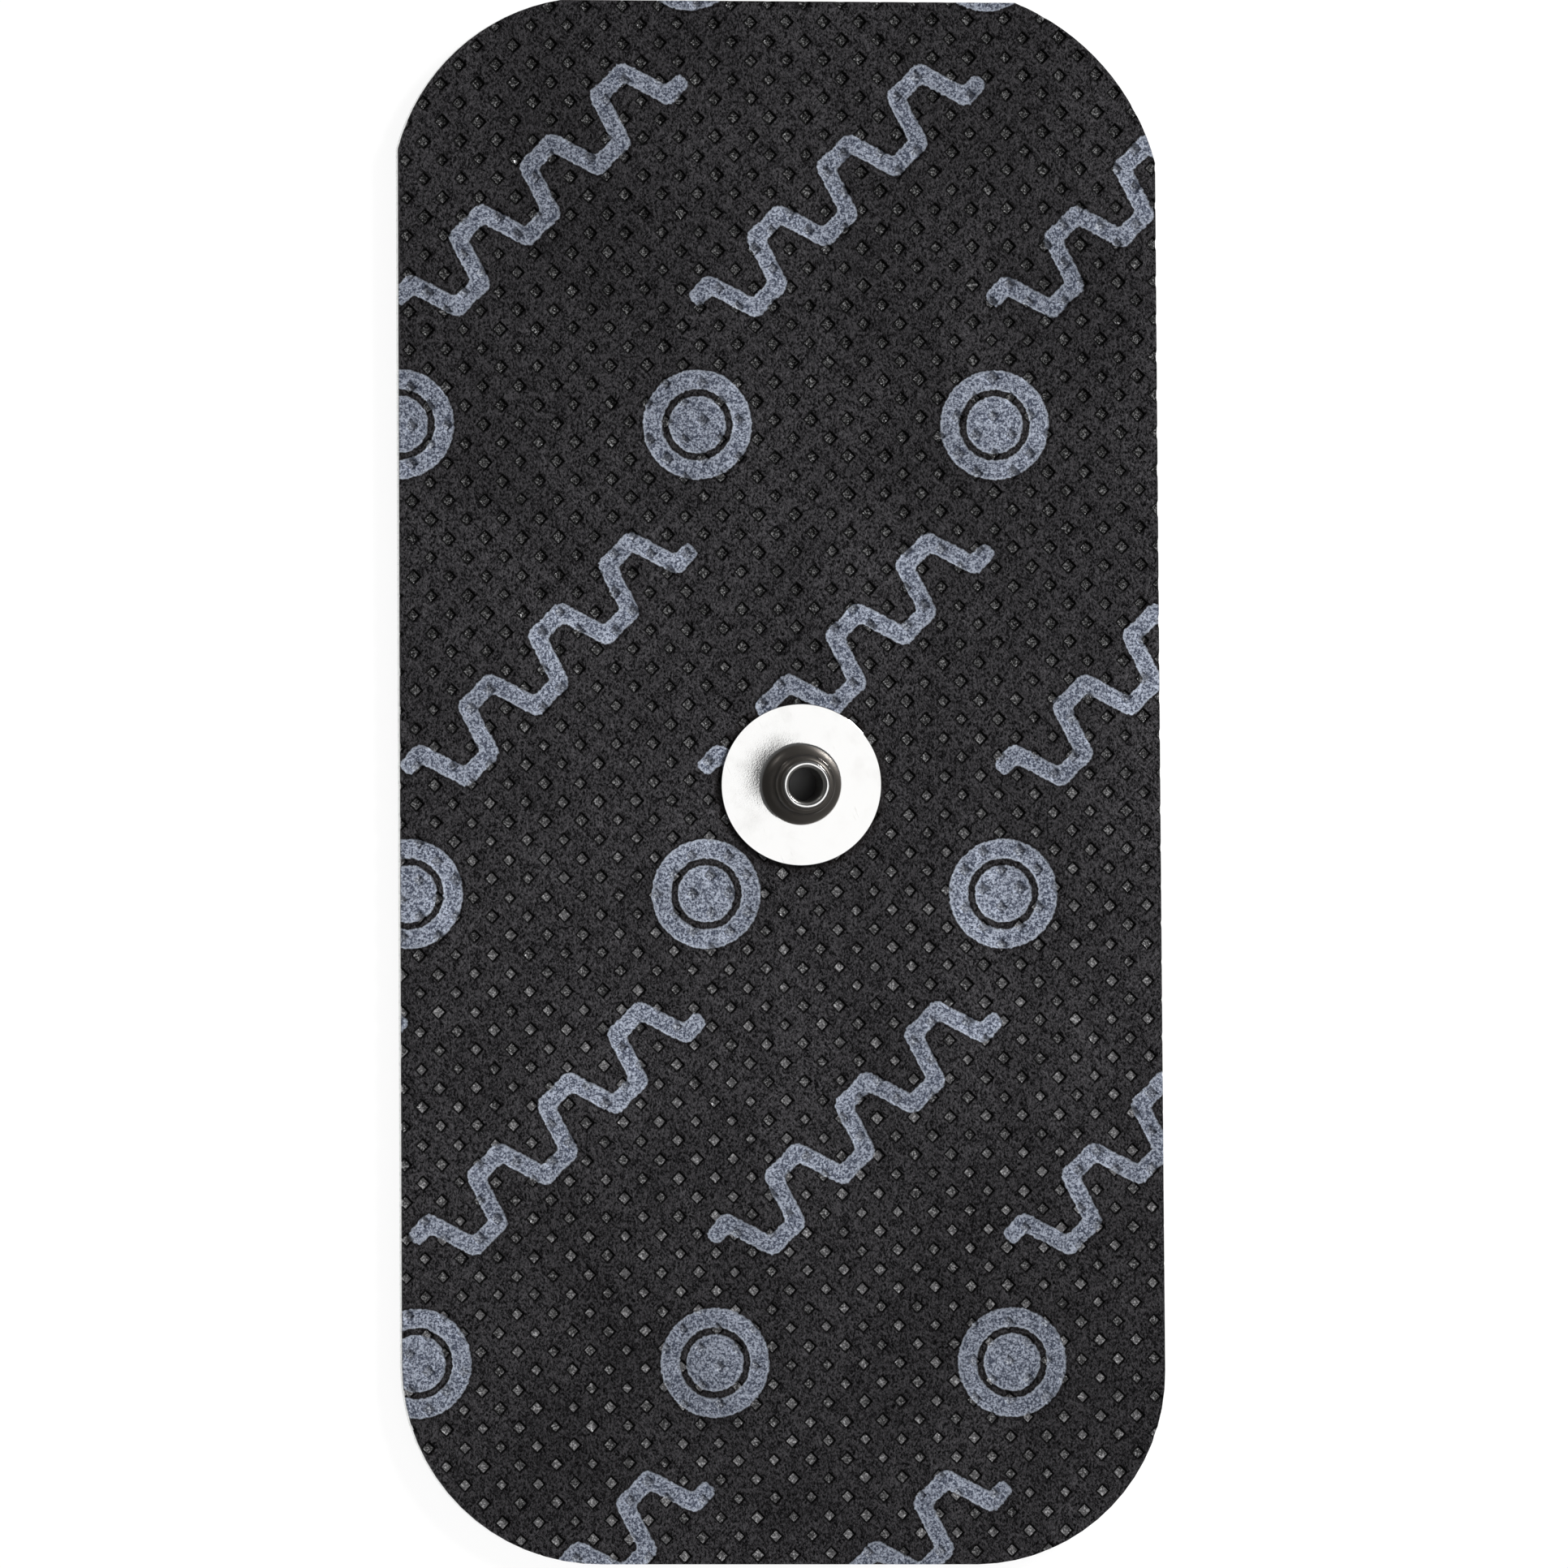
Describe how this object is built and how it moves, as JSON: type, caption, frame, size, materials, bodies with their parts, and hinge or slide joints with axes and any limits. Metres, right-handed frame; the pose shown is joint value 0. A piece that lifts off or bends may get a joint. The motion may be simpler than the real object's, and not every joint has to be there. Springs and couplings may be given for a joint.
{
  "type": "tens electrode pad",
  "caption": "Flat self-adhesive stimulation electrode: rounded black nonwoven pad over carbon film and hydrogel, with a nickel snap stud on top for the lead wire.",
  "frame": {"origin": "middle of the hydrogel's underside, where the pad lies on the skin or a table, centred on the outline's box", "axes": "+Z out of the snap stud, away from the skin; +Y along the pad's length; +X across it, to the right when the stud faces the viewer"},
  "size_m": [0.0496, 0.1, 0.0041],
  "materials": {
    "snap_stud": "nickel plated, bright",
    "snap_eyelet": "nickel plated, bright",
    "backing_fabric": "point-bonded nonwoven, black, matt, with a grey-blue print",
    "carbon_film": "carbon-filled film, satin",
    "eyelet_cover": "dark grey insulating film, satin",
    "hydrogel": "clear tacky gel with a fine scrim, wet gloss"
  },
  "bodies": {
    "root": {"snap_stud": "snap_stud", "snap_eyelet": "snap_eyelet", "backing_fabric": "backing_fabric", "carbon_film": "carbon_film", "eyelet_cover": "eyelet_cover", "hydrogel": "hydrogel"}
  },
  "joints": []
}
